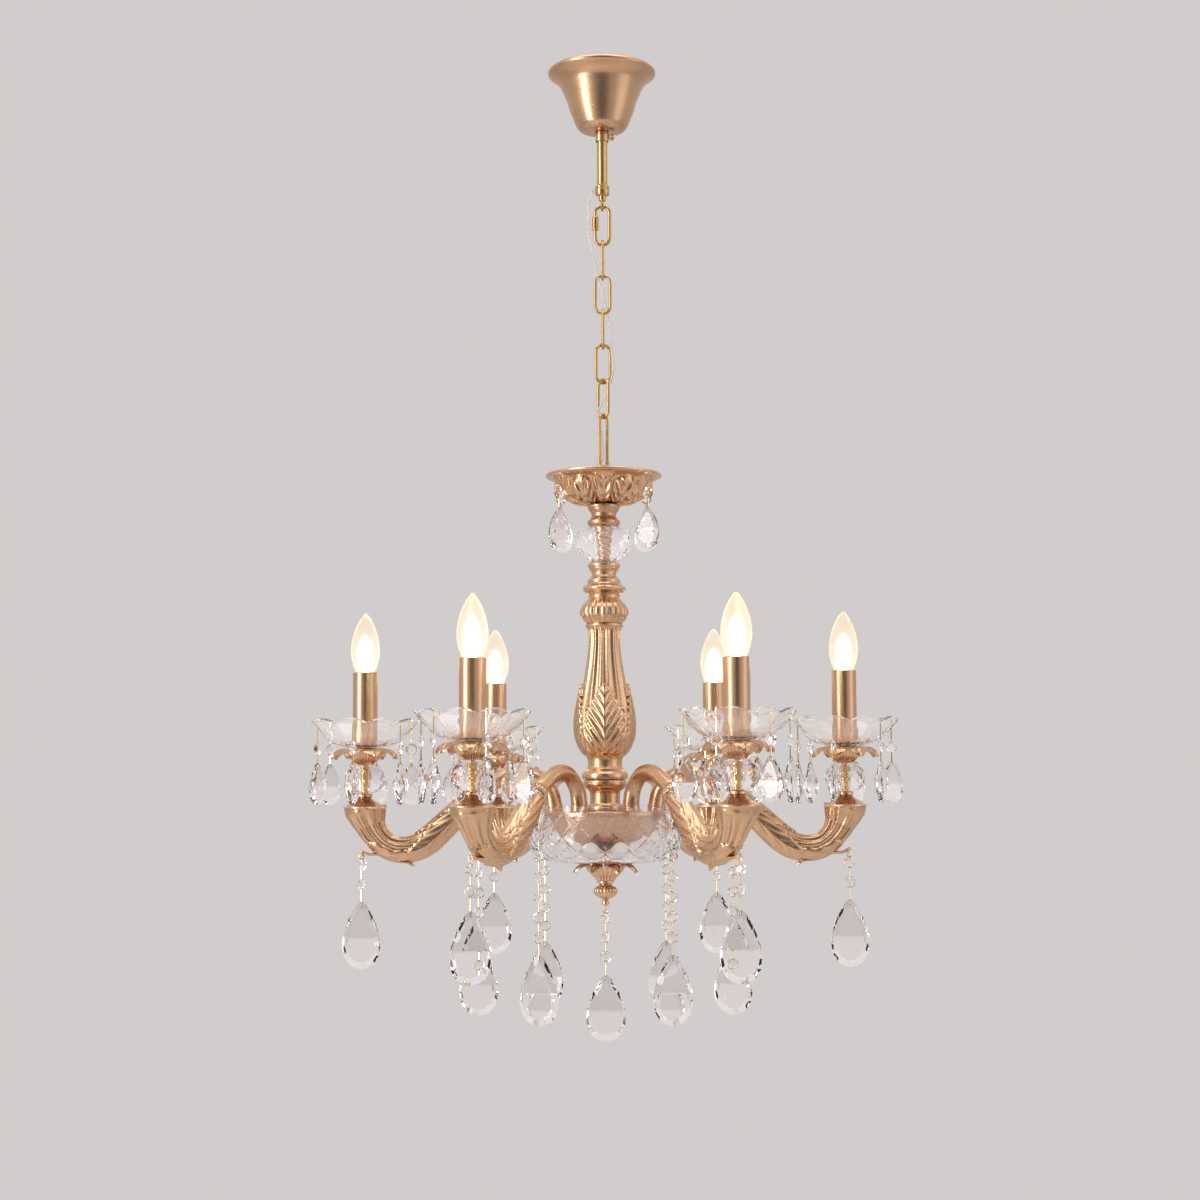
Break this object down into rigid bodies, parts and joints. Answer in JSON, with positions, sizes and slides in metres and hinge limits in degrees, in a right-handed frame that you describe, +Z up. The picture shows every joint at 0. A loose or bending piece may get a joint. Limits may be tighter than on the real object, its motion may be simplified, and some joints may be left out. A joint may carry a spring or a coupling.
{
  "type": "multi arm chandelier",
  "caption": "Classic candle chandelier: brass arms, faceted crystal balls, glass dishes, flame bulbs and hanging drops round a leaf-cast column, on a chain with a bell canopy.",
  "frame": {"origin": "middle of the hanging strap's top face, on the ceiling", "axes": "+Z up into the ceiling; two arms lie along X"},
  "size_m": [0.682, 0.6064, 1.1536],
  "materials": {
    "ceiling_strap": "plated steel",
    "stem_rod": "polished brass",
    "supply_cable": "clear cable sheath",
    "canopy": "brushed, rose gold lacquer",
    "canopy_collar": "brushed, rose gold lacquer",
    "collar_screw": "polished brass",
    "quick_link": "polished brass",
    "quick_link_sleeve": "polished brass",
    "chain_link_1": "polished brass",
    "chain_link_2": "polished brass",
    "chain_link_3": "polished brass",
    "chain_link_4": "polished brass",
    "chain_link_5": "polished brass",
    "crown_loop": "polished brass",
    "crown_dish": "satin cast, rose gold lacquer",
    "neck_upper": "satin cast, rose gold lacquer",
    "vase_glass": "clear cut crystal",
    "centre_tube": "satin cast, rose gold lacquer",
    "baluster": "satin cast, rose gold lacquer",
    "column_foot": "brushed, rose gold lacquer",
    "hub_cup": "brushed, rose gold lacquer",
    "bowl_glass": "clear cut crystal",
    "finial": "satin cast, rose gold lacquer",
    "arm_1": "satin cast, rose gold lacquer",
    "ball_1": "clear cut crystal",
    "lamp_stack_1": "brushed, rose gold lacquer",
    "bobeche_1": "clear cut crystal",
    "arm_2": "satin cast, rose gold lacquer",
    "ball_2": "clear cut crystal",
    "lamp_stack_2": "brushed, rose gold lacquer",
    "bobeche_2": "clear cut crystal",
    "arm_3": "satin cast, rose gold lacquer",
    "ball_3": "clear cut crystal",
    "lamp_stack_3": "brushed, rose gold lacquer",
    "bobeche_3": "clear cut crystal",
    "arm_4": "satin cast, rose gold lacquer",
    "ball_4": "clear cut crystal",
    "lamp_stack_4": "brushed, rose gold lacquer",
    "bobeche_4": "clear cut crystal",
    "arm_5": "satin cast, rose gold lacquer",
    "ball_5": "clear cut crystal",
    "lamp_stack_5": "brushed, rose gold lacquer",
    "bobeche_5": "clear cut crystal",
    "arm_6": "satin cast, rose gold lacquer",
    "ball_6": "clear cut crystal",
    "lamp_stack_6": "brushed, rose gold lacquer",
    "bobeche_6": "clear cut crystal",
    "bulb_1": "lit flame bulb",
    "bulb_2": "lit flame bulb",
    "bulb_3": "lit flame bulb",
    "bulb_4": "lit flame bulb",
    "bulb_5": "lit flame bulb",
    "bulb_6": "lit flame bulb",
    "arm_pendant_1": "clear cut crystal",
    "arm_pendant_2": "clear cut crystal",
    "arm_pendant_3": "clear cut crystal",
    "arm_pendant_4": "clear cut crystal",
    "arm_pendant_5": "clear cut crystal",
    "arm_pendant_6": "clear cut crystal",
    "centre_pendant": "clear cut crystal"
  },
  "bodies": {
    "ceiling": {"ceiling_strap": "ceiling_strap", "stem_rod": "stem_rod", "supply_cable": "supply_cable"},
    "canopy": {"canopy": "canopy", "canopy_collar": "canopy_collar"},
    "collar_screw": {"collar_screw": "collar_screw"},
    "quick_link": {"quick_link": "quick_link"},
    "quick_link_sleeve": {"quick_link_sleeve": "quick_link_sleeve"},
    "upper_chain": {"chain_link_1": "chain_link_1", "chain_link_2": "chain_link_2", "chain_link_3": "chain_link_3", "chain_link_4": "chain_link_4"},
    "chain_link_5": {"chain_link_5": "chain_link_5"},
    "fixture": {"crown_loop": "crown_loop", "crown_dish": "crown_dish", "neck_upper": "neck_upper", "vase_glass": "vase_glass", "centre_tube": "centre_tube", "baluster": "baluster", "column_foot": "column_foot", "hub_cup": "hub_cup", "bowl_glass": "bowl_glass", "finial": "finial", "arm_1": "arm_1", "ball_1": "ball_1", "lamp_stack_1": "lamp_stack_1", "bobeche_1": "bobeche_1", "arm_2": "arm_2", "ball_2": "ball_2", "lamp_stack_2": "lamp_stack_2", "bobeche_2": "bobeche_2", "arm_3": "arm_3", "ball_3": "ball_3", "lamp_stack_3": "lamp_stack_3", "bobeche_3": "bobeche_3", "arm_4": "arm_4", "ball_4": "ball_4", "lamp_stack_4": "lamp_stack_4", "bobeche_4": "bobeche_4", "arm_5": "arm_5", "ball_5": "ball_5", "lamp_stack_5": "lamp_stack_5", "bobeche_5": "bobeche_5", "arm_6": "arm_6", "ball_6": "ball_6", "lamp_stack_6": "lamp_stack_6", "bobeche_6": "bobeche_6"},
    "bulb_1": {"bulb_1": "bulb_1"},
    "bulb_2": {"bulb_2": "bulb_2"},
    "bulb_3": {"bulb_3": "bulb_3"},
    "bulb_4": {"bulb_4": "bulb_4"},
    "bulb_5": {"bulb_5": "bulb_5"},
    "bulb_6": {"bulb_6": "bulb_6"},
    "arm_pendant_1": {"arm_pendant_1": "arm_pendant_1"},
    "arm_pendant_2": {"arm_pendant_2": "arm_pendant_2"},
    "arm_pendant_3": {"arm_pendant_3": "arm_pendant_3"},
    "arm_pendant_4": {"arm_pendant_4": "arm_pendant_4"},
    "arm_pendant_5": {"arm_pendant_5": "arm_pendant_5"},
    "arm_pendant_6": {"arm_pendant_6": "arm_pendant_6"},
    "centre_pendant": {"centre_pendant": "centre_pendant"}
  },
  "joints": [
    {"name": "canopy_slide", "type": "slide", "parent": "ceiling", "child": "canopy", "axis": [0, 0, 1], "range_m": [-0.05, 0]},
    {"name": "collar_screw_turn", "type": "hinge", "parent": "canopy", "child": "collar_screw", "pos_m": [0.0087, 0, -0.086], "axis": [1, 0, 0], "continuous": true},
    {"name": "quick_link_swing", "type": "hinge", "parent": "ceiling", "child": "quick_link", "pos_m": [0, 0, -0.1745], "axis": [0, 1, 0], "range_deg": [-15, 15], "deforming": ["supply_cable"]},
    {"name": "quick_link_sleeve_slide", "type": "slide", "parent": "quick_link", "child": "quick_link_sleeve", "axis": [0, 0, 1], "range_m": [-0.006, 0]},
    {"name": "upper_chain_swing", "type": "hinge", "parent": "quick_link", "child": "upper_chain", "pos_m": [0, 0, -0.2173], "axis": [1, 0, 0], "range_deg": [-15, 15]},
    {"name": "chain_link_5_swing", "type": "hinge", "parent": "upper_chain", "child": "chain_link_5", "pos_m": [0, 0, -0.3842], "axis": [0.9397, 0.342, 0], "range_deg": [-15, 15]},
    {"name": "fixture_swing", "type": "hinge", "parent": "chain_link_5", "child": "fixture", "pos_m": [0, 0, -0.426], "axis": [-0.6691, 0.7431, 0], "range_deg": [-15, 15]},
    {"name": "bulb_1_lift", "type": "slide", "parent": "fixture", "child": "bulb_1", "axis": [0, 0, 1], "range_m": [0, 0.035]},
    {"name": "bulb_2_lift", "type": "slide", "parent": "fixture", "child": "bulb_2", "axis": [0, 0, 1], "range_m": [0, 0.035]},
    {"name": "bulb_3_lift", "type": "slide", "parent": "fixture", "child": "bulb_3", "axis": [0, 0, 1], "range_m": [0, 0.035]},
    {"name": "bulb_4_lift", "type": "slide", "parent": "fixture", "child": "bulb_4", "axis": [0, 0, 1], "range_m": [0, 0.035]},
    {"name": "bulb_5_lift", "type": "slide", "parent": "fixture", "child": "bulb_5", "axis": [0, 0, 1], "range_m": [0, 0.035]},
    {"name": "bulb_6_lift", "type": "slide", "parent": "fixture", "child": "bulb_6", "axis": [0, 0, 1], "range_m": [0, 0.035]},
    {"name": "arm_pendant_1_swing", "type": "hinge", "parent": "fixture", "child": "arm_pendant_1", "pos_m": [0.283, 0, -0.9402], "axis": [0, 1, 0], "range_deg": [-30, 30]},
    {"name": "arm_pendant_2_swing", "type": "hinge", "parent": "fixture", "child": "arm_pendant_2", "pos_m": [0.1415, 0.24509, -0.9402], "axis": [-0.866, 0.5, 0], "range_deg": [-30, 30]},
    {"name": "arm_pendant_3_swing", "type": "hinge", "parent": "fixture", "child": "arm_pendant_3", "pos_m": [-0.1415, 0.24509, -0.9402], "axis": [-0.866, -0.5, 0], "range_deg": [-30, 30]},
    {"name": "arm_pendant_4_swing", "type": "hinge", "parent": "fixture", "child": "arm_pendant_4", "pos_m": [-0.283, 0, -0.9402], "axis": [0, -1, 0], "range_deg": [-30, 30]},
    {"name": "arm_pendant_5_swing", "type": "hinge", "parent": "fixture", "child": "arm_pendant_5", "pos_m": [-0.1415, -0.24509, -0.9402], "axis": [0.866, -0.5, 0], "range_deg": [-30, 30]},
    {"name": "arm_pendant_6_swing", "type": "hinge", "parent": "fixture", "child": "arm_pendant_6", "pos_m": [0.1415, -0.24509, -0.9402], "axis": [0.866, 0.5, 0], "range_deg": [-30, 30]},
    {"name": "centre_pendant_swing", "type": "hinge", "parent": "fixture", "child": "centre_pendant", "pos_m": [0, 0, -1.0038], "axis": [0, 1, 0], "range_deg": [-30, 30]}
  ]
}
